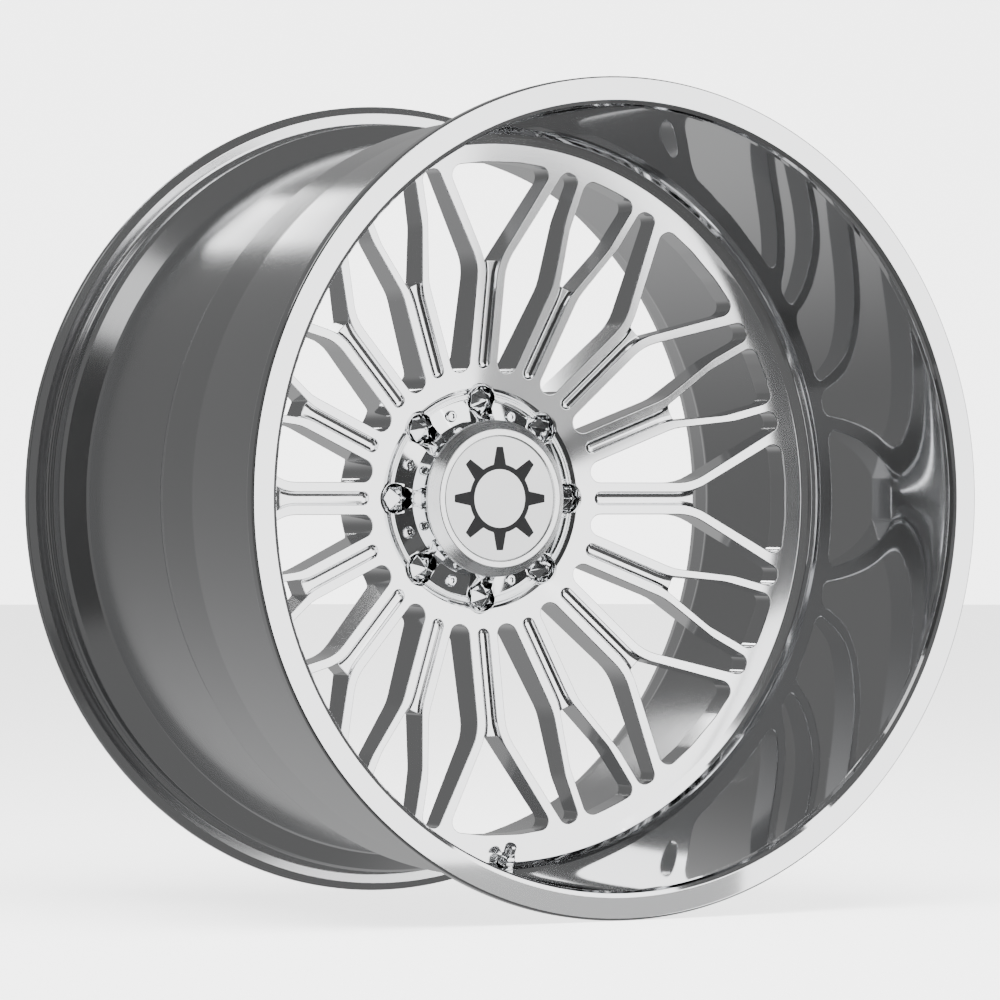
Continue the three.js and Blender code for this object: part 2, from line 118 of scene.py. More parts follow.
def unit(vectors):
    """Each vector at a length of one."""
    return vectors / np.maximum(np.linalg.norm(vectors, axis=-1, keepdims=True), 1e-12)


class Outline:
    """Points in a plane with the normal before and after each point.

    The normals point to the right of the way the points are given, which is outwards on a closed
    outline that runs anticlockwise."""

    def __init__(self, points, before, after, closed=True):
        self.points = np.array(points)
        self.before = np.array(before)
        self.after = np.array(after)
        self.closed = closed

    def offset(self, distance):
        return self.points + self.after * distance

    def reversed(self):
        """The same outline run the other way, so that its normals point inwards."""
        return Outline(self.points[::-1], -self.after[::-1], -self.before[::-1])

    def segments(self):
        """Start, end and the two normals of every segment."""
        ends = np.roll(self.points, -1, 0), np.roll(self.before, -1, 0)
        stop = None if self.closed else -1
        return self.points[:stop], ends[0][:stop], self.after[:stop], ends[1][:stop]

    def near(self, where):
        """Distance to the outline from each place, and the outline's normal there."""
        start, end, first, second = self.segments()
        along = end - start
        share = np.einsum("pkc,kc->pk", where[:, None] - start, along) / (along**2).sum(1)
        share = np.clip(share, 0, 1)
        apart = np.linalg.norm(where[:, None] - start - share[..., None] * along, axis=2)
        best = apart.argmin(1)
        at = share[np.arange(len(where)), best][:, None]
        normal = unit(first[best] * (1 - at) + second[best] * at)
        return apart[np.arange(len(where)), best], normal

    def holds(self, where):
        """Whether each place is inside the closed outline."""
        start, end = self.points, np.roll(self.points, -1, 0)
        x, y = where[:, :1], where[:, 1:]
        across = (start[:, 1] > y) != (end[:, 1] > y)
        rise = np.where(end[:, 1] == start[:, 1], 1, end[:, 1] - start[:, 1])
        left = x < (end[:, 0] - start[:, 0]) * (y - start[:, 1]) / rise + start[:, 0]
        return (across & left).sum(1) % 2 == 1


def rounded(corners, closed=True, chord=CHORD):
    """The outline through [x, y, fillet] corners. A corner without a fillet stays sharp."""
    corners = [(*corner, 0)[:3] for corner in corners]
    points, before, after = [], [], []
    count = len(corners)
    for i, (x, y, fillet) in enumerate(corners):
        here = np.array([x, y], float)
        back = unit(here - np.array(corners[i - 1][:2], float))
        ahead = unit(np.array(corners[(i + 1) % count][:2], float) - here)
        if not closed and i == 0:
            back = ahead
        if not closed and i == count - 1:
            ahead = back
        normals = turn(back), turn(ahead)
        bend = math.atan2(back[0] * ahead[1] - back[1] * ahead[0], float(back @ ahead))
        if fillet <= 0 or abs(bend) < 1e-6:
            points.append(here)
            before.append(normals[0])
            after.append(normals[1])
            continue
        side = math.copysign(1, bend)
        start = here - back * fillet * math.tan(abs(bend) / 2)
        centre = start - normals[0] * fillet * side
        start_angle = math.atan2(normals[0][1], normals[0][0])
        chords = max(2, math.ceil(abs(bend) / chord))
        for k in range(chords + 1):
            angle = start_angle + bend * k / chords
            normal = np.array([math.cos(angle), math.sin(angle)])
            points.append(centre + normal * fillet * side)
            before.append(normal)
            after.append(normal)
    return Outline(points, before, after, closed)


def circle(centre, radius, steps=48):
    """A closed circular outline."""
    angles = np.arange(steps) * 2 * math.pi / steps
    away = np.stack([np.cos(angles), np.sin(angles)], -1)
    return Outline(np.array(centre) + radius * away, away, away)


class Profile:
    """A height and slope as a function of one distance, from [distance, height, fillet] corners."""

    def __init__(self, corners):
        line = rounded(corners, closed=False)
        self.at = line.points[:, 0]
        self.height = line.points[:, 1]
        across, down = line.after.T
        self.slope = np.clip(-across / np.minimum(down, -1e-3), -40, 40)

    def __call__(self, distance):
        return np.interp(distance, self.at, self.height), np.interp(distance, self.at, self.slope)


# ---------------------------------------------------------------- meshes
#
# A piece's data is its wheel-frame vertices, its faces, and one normal per face corner or None.


def place(where):
    """Wheel-frame millimetres to the row's metres."""
    where = np.asarray(where, float)
    return np.stack([where[..., 0], -where[..., 2], where[..., 1]], -1) * MM


def make(name, vertices, faces, normals, material):
    """An object from a piece's data. Without normals, only the sharper edges show as edges."""
    mesh = bpy.data.meshes.new(name)
    mesh.from_pydata(place(vertices).tolist(), [], faces)
    mesh.materials.append(material)
    mesh.shade_smooth()
    if normals is None:
        mesh.set_sharp_from_angle(angle=math.radians(35))
    else:
        mesh.normals_split_custom_set((place(normals) / MM).tolist())
    thing = bpy.data.objects.new(name, mesh)
    bpy.context.scene.collection.objects.link(thing)
    return thing


def turned_mesh(corners, sides, chord=CHORD, shape=None):
    """A closed outline of radius and x, turned about the axis.

    shape(angle, x), where given, scales the radius and leaves the shading to the faces' angles."""
    outline = rounded(corners, chord=chord)
    angles = np.arange(sides) * 2 * math.pi / sides
    spin = np.stack([np.cos(angles), np.sin(angles)], -1)
    radius, height = outline.points.T
    scale = 1 if shape is None else shape(angles[None, :], height[:, None])
    reach = radius[:, None] * scale * np.ones(sides)
    levels = height[:, None] * np.ones(sides)
    vertices = np.dstack([reach * spin[:, 0], reach * spin[:, 1], levels]).reshape(-1, 3)
    faces, normals = [], []
    count = len(radius)
    on_axis = radius < 1e-6
    for i in range(count):
        k = (i + 1) % count
        if on_axis[i] and on_axis[k]:
            continue
        for j in range(sides):
            m = (j + 1) % sides
            corner = [(i, j), (i, m), (k, m), (k, j)]
            if on_axis[i]:
                corner.pop(1)
            elif on_axis[k]:
                corner.pop(2)
            faces.append([a * sides + (0 if on_axis[a] else b) for a, b in corner])
            for a, b in corner:
                flat = outline.before[k] if a == k else outline.after[i]
                normals.append((flat[0] * spin[b, 0], flat[0] * spin[b, 1], flat[1]))
    return vertices, faces, np.array(normals) if shape is None else None


def add_run(points, edges, run, closed=True):
    """Adds a run of plan points, each joined to the next, to those that will be triangulated."""
    first = len(points)
    points.extend(Vector(p) for p in run)
    edges.extend((i, i + 1) for i in range(first, len(points) - 1))
    if closed:
        edges.append((len(points) - 1, first))


def triangulated(points, edges):
    """A plan's points and the anticlockwise triangles between them, with every edge kept."""
    found = delaunay_2d_cdt(points, edges, [], 0, 1e-4)
    plan = np.array([tuple(p) for p in found[0]])
    triangles = np.array(found[2])
    first, second, third = plan[triangles].transpose(1, 0, 2)
    area = np.cross(second - first, third - first)
    triangles = np.where(area[:, None] < 0, triangles[:, ::-1], triangles)
    return plan, triangles[np.abs(area) > 1e-7]


def sector_plan(loops, keep, radii, sides):
    """Points and triangles of a piece's plan from angle 0 to STEP."""
    points, edges = [], []
    steps = sides // (2 * LUGS)
    sweep = np.arange(steps + 1) * STEP / steps
    for radius in radii:
        add_run(points, edges, [(radius * math.cos(a), radius * math.sin(a)) for a in sweep], False)
    for a in (0, STEP):
        add_run(points, edges, [(radius * math.cos(a), radius * math.sin(a)) for radius in radii], False)
    for loop in loops:
        add_run(points, edges, loop)
    plan, triangles = triangulated(points, edges)
    middle = plan[triangles].mean(1)
    reach = np.linalg.norm(middle, axis=1)
    angle = np.arctan2(middle[:, 1], middle[:, 0])
    inside = (angle > 0) & (angle < STEP) & (reach > radii[0]) & (reach < radii[-1])
    used, triangles = np.unique(triangles[inside & keep(middle)], return_inverse=True)
    return plan[used], triangles.reshape(-1, 3)


def edge_walls(plan, top):
    """Upright faces along the plan's open edges, whose lower points follow all the upper ones."""
    count = len(plan)
    pairs = np.concatenate([top[:, [0, 1]], top[:, [1, 2]], top[:, [2, 0]]])
    ahead = pairs[:, 0] * count + pairs[:, 1]
    behind = pairs[:, 1] * count + pairs[:, 0]
    rim = pairs[~np.isin(ahead, behind)]
    outward = unit(turn(plan[rim[:, 1]] - plan[rim[:, 0]]))
    arriving = {b: normal for (a, b), normal in zip(rim.tolist(), outward)}
    leaving = {a: normal for (a, b), normal in zip(rim.tolist(), outward)}

    def end_normal(point, own):
        """The mean of the two walls' normals at a point, or the wall's own at a sharp corner."""
        smooth = unit(arriving.get(point, own) + leaving.get(point, own))
        return smooth if smooth @ own > 0.9 else own

    walls, normals = [], []
    for (a, b), own in zip(rim.tolist(), outward):
        walls.append([b, a, a + count, b + count])
        at_a, at_b = end_normal(a, own), end_normal(b, own)
        normals.extend((*normal, 0) for normal in (at_b, at_a, at_a, at_b))
    return walls, np.array(normals)


def sheet(loops, keep, front, back, radii, sides):
    """A piece whose two faces are heights over a plan that repeats, mirrored, round the wheel.

    loops are closed runs of plan points to follow, radii are circles to follow, keep(places) says
    which places are solid, and front and back give height and slope at places in one sector."""
    sector, triangles = sector_plan(loops, keep, radii, sides)
    shaped = front(sector), back(sector)
    copies = 2 * LUGS
    plans, tops, slopes = [], [], ([], [])
    for copy in range(copies):
        flip = 1 if copy % 2 == 0 else -1
        a = 2 * STEP * (copy // 2)
        spin = np.array([[math.cos(a), math.sin(a)], [-math.sin(a), math.cos(a)]])
        plans.append(sector * (1, flip) @ spin)
        tops.append((triangles if flip > 0 else triangles[:, ::-1]) + copy * len(sector))
        for face in (0, 1):
            slopes[face].append(shaped[face][1] * (1, flip) @ spin)
    plan = np.concatenate(plans)
    cells = np.round(plan * 200).astype(np.int64)  # points in one cell become one point
    _, kept, weld = np.unique(cells, axis=0, return_index=True, return_inverse=True)
    top = weld.reshape(-1)[np.concatenate(tops)]
    plan = plan[kept]
    count = len(plan)
    vertices, normals = [], []
    for face, outward in ((0, 1), (1, -1)):
        height = np.tile(shaped[face][0], copies)[kept]
        slope = np.concatenate(slopes[face])[kept]
        vertices.append(np.column_stack([plan, height]))
        normals.append(outward * unit(np.column_stack([-slope, np.ones(count)])))
    bottom = top[:, ::-1]
    walls, wall_normals = edge_walls(plan, top)
    faces = top.tolist() + (bottom + count).tolist() + walls
    corners = normals[0][top.reshape(-1)], normals[1][bottom.reshape(-1)], wall_normals
    return np.concatenate(vertices), faces, np.concatenate(corners)


def joined(parts):
    """One set of vertices, faces and corner normals from several."""
    vertices, faces, normals = [], [], []
    first = 0
    for part in parts:
        vertices.append(part[0])
        faces.extend([[v + first for v in face] for face in part[1]])
        normals.append(part[2])
        first += len(part[0])
    return np.concatenate(vertices), faces, np.concatenate(normals)


def moved_round(data, radius, angle):
    """A turned piece's data moved to a radius and an angle about the wheel's axis."""
    vertices, faces, normals = data
    c, s = math.cos(angle), math.sin(angle)
    spin = np.array([[c, s, 0], [-s, c, 0], [0, 0, 1]])
    return (vertices + (radius, 0, 0)) @ spin, faces, None if normals is None else normals @ spin


# ---------------------------------------------------------------- materials


class Nodes:
    """Short calls for one material's node tree."""

    def __init__(self, name):
        self.material = bpy.data.materials.new(name)
        self.material.use_nodes = True
        self.tree = self.material.node_tree
        self.shader = next(n for n in self.tree.nodes if n.type == "BSDF_PRINCIPLED")

    def add(self, kind, **values):
        node = self.tree.nodes.new(kind)
        for key, value in values.items():
            setattr(node, key, value)
        return node

    def link(self, source, target):
        self.tree.links.new(source, target)

    def math(self, operation, *values):
        node = self.add("ShaderNodeMath", operation=operation)
        for socket, value in zip(node.inputs, values):
            if isinstance(value, (int, float)):
                socket.default_value = value
            else:
                self.link(value, socket)
        return node.outputs[0]

    def place(self):
        """Where a point is at rest, in metres."""
        return self.add("ShaderNodeTexCoord").outputs["Object"]

    def noise(self, vector, scale, detail=3.0):
        node = self.add("ShaderNodeTexNoise")
        node.inputs["Scale"].default_value = scale
        node.inputs["Detail"].default_value = detail
        self.link(vector, node.inputs["Vector"])
        return node.outputs["Fac"]

    def spread(self, value, low, high):
        """A value from 0 to 1 as one from low to high."""
        node = self.add("ShaderNodeMapRange")
        self.link(value, node.inputs["Value"])
        node.inputs["To Min"].default_value = low
        node.inputs["To Max"].default_value = high
        return node.outputs["Result"]

    def lathe_lines(self, scale):
        """Fine rings round the wheel's axis: noise that changes with radius and along the axis only."""
        split = self.add("ShaderNodeSeparateXYZ")
        self.link(self.place(), split.inputs[0])
        across = self.math("POWER", split.outputs[0], 2)
        up = self.math("POWER", split.outputs[2], 2)
        square = self.math("ADD", across, up)
        rings = self.add("ShaderNodeCombineXYZ")
        self.link(self.math("SQRT", square), rings.inputs[0])
        self.link(split.outputs[1], rings.inputs[1])
        return self.noise(rings.outputs[0], scale, 2)

    def bump(self, height, strength, distance):
        node = self.add("ShaderNodeBump")
        node.inputs["Strength"].default_value = strength
        node.inputs["Distance"].default_value = distance
        self.link(height, node.inputs["Height"])
        self.link(node.outputs[0], self.shader.inputs["Normal"])


def metal(name, colour, roughness, rings=300, lines=0.0):
    """A metal whose roughness varies with faint turning rings and handling marks.

    rings is how fine the turning marks are, and lines how deep they stand as a bump."""
    nodes = Nodes(name)
    nodes.shader.inputs["Metallic"].default_value = 1
    nodes.shader.inputs["Base Color"].default_value = (*colour, 1)
    turning = nodes.lathe_lines(rings)
    handling = nodes.noise(nodes.place(), 30, 5)
    marks = nodes.math("MULTIPLY", nodes.math("ADD", handling, turning), 0.5)
    nodes.link(nodes.spread(marks, roughness * 0.7, roughness * 1.3), nodes.shader.inputs["Roughness"])
    if lines:
        nodes.bump(turning, lines, 0.0001)
    return nodes.material


def rubber(name):
    """Matt black rubber with a moulded grain."""
    nodes = Nodes(name)
    nodes.shader.inputs["Base Color"].default_value = (0.018, 0.018, 0.018, 1)
    nodes.shader.inputs["Roughness"].default_value = 0.7
    nodes.bump(nodes.noise(nodes.place(), 2500), 0.3, 0.0002)
    return nodes.material


def enamel(name):
    """Dark paint in the cap's mark, with a fine speckle."""
    nodes = Nodes(name)
    nodes.shader.inputs["Base Color"].default_value = (0.012, 0.012, 0.013, 1)
    speckle = nodes.noise(nodes.place(), 900)
    nodes.shader.inputs["Specular IOR Level"].default_value = 0.2
    nodes.link(nodes.spread(speckle, 0.5, 0.65), nodes.shader.inputs["Roughness"])
    nodes.bump(speckle, 0.15, 0.0001)
    return nodes.material


POLISHED = metal("polished_aluminium", (0.86, 0.865, 0.875), 0.09)
MIRROR = metal("mirror_polish", (0.86, 0.865, 0.875), 0.035)
BARREL = metal("satin_barrel", (0.80, 0.805, 0.815), 0.18)
CHROME = metal("chrome", (0.84, 0.85, 0.86), 0.05)
BRUSHED = metal("brushed_aluminium", (0.80, 0.805, 0.81), 0.27, 3200, 0.5)
PLATE = metal("satin_plate", (0.60, 0.605, 0.61), 0.24, 3200, 0.3)
STEEL = metal("zinc_steel", (0.62, 0.63, 0.64), 0.3)
BRASS = metal("brass", (0.72, 0.56, 0.30), 0.28, 2000, 0.2)
RUBBER = rubber("moulded_rubber")
ENAMEL = enamel("dark_enamel")

# ---------------------------------------------------------------- wheel disc


def on_spoke(along, across, angle, fillet):
    """A corner given along and across a spoke, turned to that spoke's angle."""
    c, s = math.cos(angle), math.sin(angle)
    return along * c - across * s, along * s + across * c, fillet


def long_window():
    """The window between the wide fork's spoke at angle 0 and the next spoke."""
    apex = SPOKE_HALF / math.sin(STEP / 2)
    return rounded([
        on_spoke(apex, 0, STEP / 2, 9.55),
        on_spoke(202.7, SPOKE_HALF, 0, 44),
        on_spoke(286.7, -50.1, STEP, 7.8),
        on_spoke(286.7, -34.1, STEP, 7.8),
        on_spoke(249.6, -29.5, STEP, 50),
        on_spoke(195.3, -SPOKE_HALF, STEP, 44),
    ])


def fork_window(side, angle):
    """A fork's window, from the corners of one side and an outer edge on a circle."""
    third = math.atan2(side[-1][1], side[-1][0]) / 3
    edge = [(WINDOW_END_R * math.cos(a), WINDOW_END_R * math.sin(a), 60) for a in (-third, third)]
    mirrored = [(along, -across, fillet) for along, across, fillet in side]
    corners = mirrored + edge + side[::-1]
    return rounded([on_spoke(*corner[:2], angle, corner[2]) for corner in corners])


def groove(run, angle):
    """The edge of a spoke's groove, which flares at its end to meet the fork's window."""
    mirrored = [(along, -across, fillet) for along, across, fillet in run]
    fillet = GROOVE_HALF - 0.01
    tip = [(GROOVE_TIP_R, GROOVE_HALF, fillet), (GROOVE_TIP_R, -GROOVE_HALF, fillet)]
    corners = mirrored + run[::-1] + tip
    return rounded([on_spoke(*corner[:2], angle, corner[2]) for corner in corners])


def face_x(radius):
    """Where the disc's dished face is at a radius."""
    return FACE_APEX[1] + FACE_SLOPE * (radius - FACE_APEX[0])


DISC_FRONT = Profile([
    (HUB_R, SEAT_X),
    (SEAT_R, SEAT_X, 0.4),
    (SEAT_R + 0.1, SEAT_X + 2.8, 0.4),
    (96, face_x(96), 1),
    (DISC_EDGE_R, face_x(DISC_EDGE_R), 2),
    (DISC_R, 9.9),
])
DISC_BACK = Profile([
    (HUB_R, MOUNT_X),
    (101.5, MOUNT_X, 1.5),
    (112, -80, 5),
    (122.5, -61.5, 8),
    (290, -18.8, 8),
    (DISC_R, SPLIT_X + SEAM),
])
LUG_BORE = Profile([
    (STUD_R, -84.4),
    (NUT_SEAT_R, NUT_SEAT_X, 0.5),
    (NUT_BORE_R, NUT_SEAT_X),
    (NUT_BORE_R + 0.1, -20),
    (200, 400),  # beyond the bore it is above the face, so the face shows
])
GROOVE = Profile([(-0.8, 0), (0, 0, 0.9), (1.6, 2.4, 1.4), (4.4, 3.4, 4.0), (6.2, 3.4)])


def radial(where):
    """Each place's distance from the axis and its direction."""
    reach = np.linalg.norm(where, axis=1)
    return reach, where / reach[:, None]


def wheel_disc():
    """Hub, spokes and their ring as one closed mesh."""
    windows = [
        long_window(),
        fork_window([(205.9, 6.9, 1.5), (285.3, 52.9, 8.7)], 0),
        fork_window([(197.8, 7.5, 1.5), (243.2, 21.2, 50), (289, 26.7, 8.7)], STEP),
    ]
    grooves = [
        groove([(199, GROOVE_HALF, 45), (226, 16.6, 0)], 0),
        groove([(190, GROOVE_HALF, 55), (216, 12.2, 0)], STEP),
    ]
    lug = (LUG_R, 0)
    stud = circle(lug, STUD_R, 32)

    def rounded_edges(where, height, slope, side):
        """The height and slope after the windows' edges are rounded, on the front (1) or back (-1)."""
        for window in windows:
            apart, normal = window.near(where)
            left = np.clip(EDGE_ROUND - apart, 0, EDGE_ROUND * 0.9995)
            root = np.sqrt(EDGE_ROUND**2 - left**2)
            height = height - side * np.where(apart < EDGE_ROUND, EDGE_ROUND - root, 0)
            slope = slope + side * normal * (left / root)[:, None]
        return height, slope

    def front(where):
        reach, away = radial(where)
        height, rise = DISC_FRONT(reach)
        slope = away * rise[:, None]
        for edge in grooves:
            apart, normal = edge.near(where)
            depth, fall = GROOVE(np.where(edge.holds(where), apart, -apart))
            height = height - depth
            slope = slope + normal * fall[:, None]
        height, slope = rounded_edges(where, height, slope, 1)
        apart, away = radial(where - lug)
        bore, rise = LUG_BORE(apart)
        in_bore = bore < height
        slope = np.where(in_bore[:, None], away * rise[:, None], slope)
        return np.where(in_bore, bore, height), slope

    def back(where):
        reach, away = radial(where)
        height, rise = DISC_BACK(reach)
        return rounded_edges(where, height, away * rise[:, None], -1)

    def solid(where):
        open_here = stud.holds(where)
        for window in windows:
            open_here = open_here | window.holds(where)
        return ~open_here

    loops = []
    for window in windows:
        for turned_by in (0, 30, 60, 90):
            loops.append(window.offset(EDGE_ROUND * (1 - math.cos(math.radians(turned_by)))))
    for edge in grooves:
        loops.extend(edge.offset(-inward) for inward in GROOVE.at if inward < GROOVE_HALF - 0.4)
    bore_radii = STUD_R, NUT_SEAT_R, NUT_BORE_R, NUT_BORE_R + 0.1
    loops.extend(circle(lug, radius).points for radius in bore_radii)
    between = 200.0, 297.0  # circles that only keep the triangles short
    radii = {*np.round(DISC_FRONT.at, 3), *np.round(DISC_BACK.at, 3), *between}
    return sheet(loops, solid, front, back, sorted(radii), RIM_SIDES)


# ---------------------------------------------------------------- barrel


def outer_barrel():
    """The outboard half of the barrel with the lip, turned."""
    return turned_mesh([
        (DISC_R + SEAM, SPLIT_X),
        (316, SPLIT_X),
        (RAISED_R, 5, 5),
        (RAISED_R, 60, 90),
        (330.2, 175, 5),
        (332.9, 181, 2.5),
        (332, 186.5, 4),
        (BEAD_SEAT_R, FLANGE_X, 5),
        (FLANGE_R, FLANGE_X, 2.6),
        (FLANGE_R, HALF_WIDTH, 2.2),
        (330.6, HALF_WIDTH, 1.3),
        (327.4, HALF_WIDTH - 1.9, 1.2),
        (325.6, HALF_WIDTH - 4.6, 1.6),
        (325.4, HALF_WIDTH - 10, 1.5),
        (326.3, HALF_WIDTH - 12.2, 1.2),
        (316.8, 22, 3),
        (316.4, 15.6, 4),
        (313.6, 11.2, 1.6),
        (DISC_R + SEAM, 9.9),
    ], RIM_SIDES)


def inner_barrel():
    """The inboard half of the barrel, turned, with the fillet behind the disc."""
    return turned_mesh([
        (329, -HALF_WIDTH, 1.8),
        (FLANGE_R, -HALF_WIDTH, 1.8),
        (FLANGE_R, -HALF_WIDTH + 3.4, 0.2),
        (FLANGE_R - 0.7, -HALF_WIDTH + 3.8, 0.2),
        (FLANGE_R - 0.7, -HALF_WIDTH + 4.6, 0.2),
        (FLANGE_R, -HALF_WIDTH + 5, 0.2),
        (FLANGE_R, -FLANGE_X - 4.5, 2),
        (FLANGE_R - 6.5, -FLANGE_X, 1.6),
        (331.6, -FLANGE_X, 5),
        (331.5, -197.2, 0.6),
        (332.5, -196.2, 0.5),
        (332.5, -195, 0.5),
        (331.5, -194, 0.6),
        (331.2, -185, 4),
        (332.6, -180.5, 2.4),
        (330.2, -176.5, 5),
        (DROP_R, -159.7, 6),
        (DROP_R, SPLIT_X - 3, 3),
        (316, SPLIT_X - SEAM),
        (300, SPLIT_X - 0.5),
        (BARREL_INNER_R, SPLIT_X - 1.2, 6.5),
        (BARREL_INNER_R, -156, 16),
        (322, -178, 10),
        (325, -202, 8),
    ], RIM_SIDES)


# ---------------------------------------------------------------- centre cap


def cap_base():
    """The chrome flange: a rimmed floor, a hump with a pocket at every nut, and the neck."""
    seat_x = CAP_FLOOR_X + 0.3  # where the screws sit
    wall_h = 4.6  # the hump's own wall
    climb_h = 13  # how much higher the hump is at the neck
    climb_r = 80  # where it starts to climb
    climb_run = 11.6
    floor = Profile([
        (50, seat_x + CAP_FLOOR_RISE * (CAP_SCREW_R - 50)),
        (86.4, seat_x + CAP_FLOOR_RISE * (CAP_SCREW_R - 86.4), 0.5),
        (87.2, CAP_FLOOR_X + 2, 0.4),
        (88.4, CAP_FLOOR_X + 2, 0.3),
        (88.7, CAP_FLOOR_X + 1.4, 0.2),
        (89.3, CAP_FLOOR_X + 1.4, 0.2),
        (89.6, CAP_FLOOR_X + 2.6, 0.3),
        (90.8, CAP_FLOOR_X + 2.6, 0.6),
        (CAP_RIM_R, CAP_FLOOR_X + 0.6),
    ])
    hump = Profile([(0, 0, 0), (0.5, 0, 0.4), (1, 3, 0.6), (1.8, wall_h, 0.8), (40, wall_h + 0.1)])
    lug = (LUG_R, 0)
    pocket = circle(lug, POCKET_R, 56)
    screw_centre = (CAP_SCREW_R * math.cos(STEP), CAP_SCREW_R * math.sin(STEP))
    screw_hole = circle(screw_centre, 2.8, 24)
    edge = rounded([
        (99.2, -14.2, 14.1),
        (99.2, 14.2, 14.1),
        (84, 14.2, 24),
        (66, 6.4, 2),
        (66, -6.4, 2),
        (84, -14.2, 24),
    ])

    def front(where):
        reach, away = radial(where)
        height, rise = floor(reach)
        slope = away * rise[:, None]
        apart, normal = edge.near(where)
        up, steep = hump(apart)
        climb = np.clip((climb_r - where[:, 0]) / climb_run, 0, 1)
        share = up / wall_h
        ridge = CAP_FLOOR_X + up + climb_h * climb**2 * share
        ridge_slope = -normal * (steep * (1 + climb_h * climb**2 / wall_h))[:, None]
        ridge_slope[:, 0] -= 2 * climb_h * climb * share / climb_run
        raised = edge.holds(where) & (ridge > height)
        return np.where(raised, ridge, height), np.where(raised[:, None], ridge_slope, slope)

    def back(where):
        return np.full(len(where), SEAT_X + 0.05), np.zeros_like(where)

    def solid(where):
        reach = np.linalg.norm(where, axis=1)
        filled = (reach < CAP_RIM_R) | edge.holds(where)
        return filled & ~pocket.holds(where) & ~screw_hole.holds(where)

    loops = [edge.offset(-inward) for inward in hump.at if inward < 4]
    loops += [circle(lug, radius, 56).points for radius in (POCKET_R, POCKET_R + 0.2)]
    loops.append(screw_hole.points)
    between = 70.5, 73.0, 76.0, 79.0, 82.0, 100.0  # circles that only keep the triangles short
    radii = {*np.round(floor.at, 3), *between}
    plate = sheet(loops, solid, front, back, sorted(radii), CAP_SIDES)
    neck = turned_mesh([
        (NECK_IN_R, CAP_FLOOR_X - 1),
        (NECK_R + 3, CAP_FLOOR_X - 1),
        (NECK_R + 0.2, CAP_FLOOR_X + 1, 3),
        (NECK_R - 0.6, NECK_TOP_X, 0.6),
        (NECK_IN_R, NECK_TOP_X),
    ], CAP_SIDES)
    return joined([plate, neck])


def cap_dome():
    """The brushed dome: conical shoulder, face ring, and a hollow behind."""
    return turned_mesh([
        (53.9, CAP_FLOOR_X + 0.5),
        (60.5, CAP_FLOOR_X + 0.5, 0.6),
        (60.5, NECK_TOP_X + 0.1),
        (NECK_R - 0.7, NECK_TOP_X + 0.1, 0.3),
        (NECK_R - 0.7, NECK_TOP_X + 1.5, 0.8),
        (FACE_RING_R + 0.6, FACE_RING_X - 0.3, 0.5),
        (FACE_RING_R - 0.2, FACE_RING_X, 0.4),
        (MEDALLION_R + 1.1, FACE_RING_X, 0.4),
        (MEDALLION_R + 0.2, FACE_RING_X - 1.2, 0.3),
        (MEDALLION_R + 0.2, FACE_RING_X - 3),
        (0, FACE_RING_X - 3),
        (0, FACE_RING_X - 6),
        (53.9, FACE_RING_X - 6, 2),
    ], CAP_SIDES)


def medallion():
    """The flat disc in the crown."""
    return turned_mesh([
        (0, FACE_RING_X - 2.9),
        (MEDALLION_R, FACE_RING_X - 2.9),
        (MEDALLION_R, FACE_RING_X - 1, 0.4),
        (0, FACE_RING_X - 1),
    ], CAP_SIDES)


def o_ring():
    """The seal between the crown and the neck."""
    middle_r, middle_x, thick = O_RING
    ring = circle((middle_r, middle_x), thick, 12)
    return turned_mesh(ring.points.tolist(), 96)


def pierced_plate(outline, hole, low, high, edge):
    """A flat plate of an outline with a hole through it and softened upper edges."""
    rings = outline, hole.reversed()
    points, links = [], []
    for ring in rings:
        add_run(points, links, ring.offset(-edge))
    plan, triangles = triangulated(points, links)
    middle = plan[triangles].mean(1)
    triangles = triangles[outline.holds(middle) & ~hole.holds(middle)]
    first = len(plan)
    vertices = [np.column_stack([plan, np.full(first, high)])]
    faces = triangles.tolist()
    normals = [(0, 0, 1)] * (3 * len(triangles))
    for ring in rings:
        size = len(ring.points)
        for run, height in ((ring.offset(-edge), high), (ring.points, high - edge), (ring.points, low)):
            vertices.append(np.column_stack([run, np.full(size, height)]))
        for level, lift in ((0, 1), (1, 0)):
            for i in range(size):
                k = (i + 1) % size
                upper = first + level * size
                lower = upper + size
                faces.append([upper + i, lower + i, lower + k, upper + k])
                at_i = unit(np.array([*ring.after[i], lift]))
                at_k = unit(np.array([*ring.before[k], lift]))
                normals.extend((at_i, at_i, at_k, at_k))
        first += 3 * size
    return np.concatenate(vertices), faces, np.array(normals)


def inlay():
    """The cap's generic mark: a ring with a tapered bar at every lug."""
    ring_in, ring_out, bar_end, bar_half = 25.2, 29.8, 44.8, 3.2
    root = math.asin((bar_half + 3) / ring_out)
    tip = math.asin(bar_half / bar_end)
    corners = []
    for i in range(LUGS):
        angle = 2 * STEP * i
        for radius, turn_by in ((ring_out, -root), (bar_end, -tip), (bar_end, tip), (ring_out, root)):
            a = angle + turn_by
            corners.append((radius * math.cos(a), radius * math.sin(a), 0.6))
        for part in (0.25, 0.5, 0.75):
            a = angle + root + part * (2 * STEP - 2 * root)
            corners.append((ring_out * math.cos(a), ring_out * math.sin(a), 8))
    hole = circle((0, 0), ring_in, 96)
    return pierced_plate(rounded(corners), hole, FACE_RING_X - 1.3, FACE_RING_X - 0.8, 0.12)


# ---------------------------------------------------------------- screws and nuts


def hexagon(angle, cut):
    """The share of its corners' radius that a hexagon reaches, with the corners cut off at cut."""
    sixth = math.pi / 6
    within = (angle + sixth) % (2 * sixth) - sixth
    return np.minimum(math.cos(sixth) / np.cos(sixth - np.abs(within)), cut)


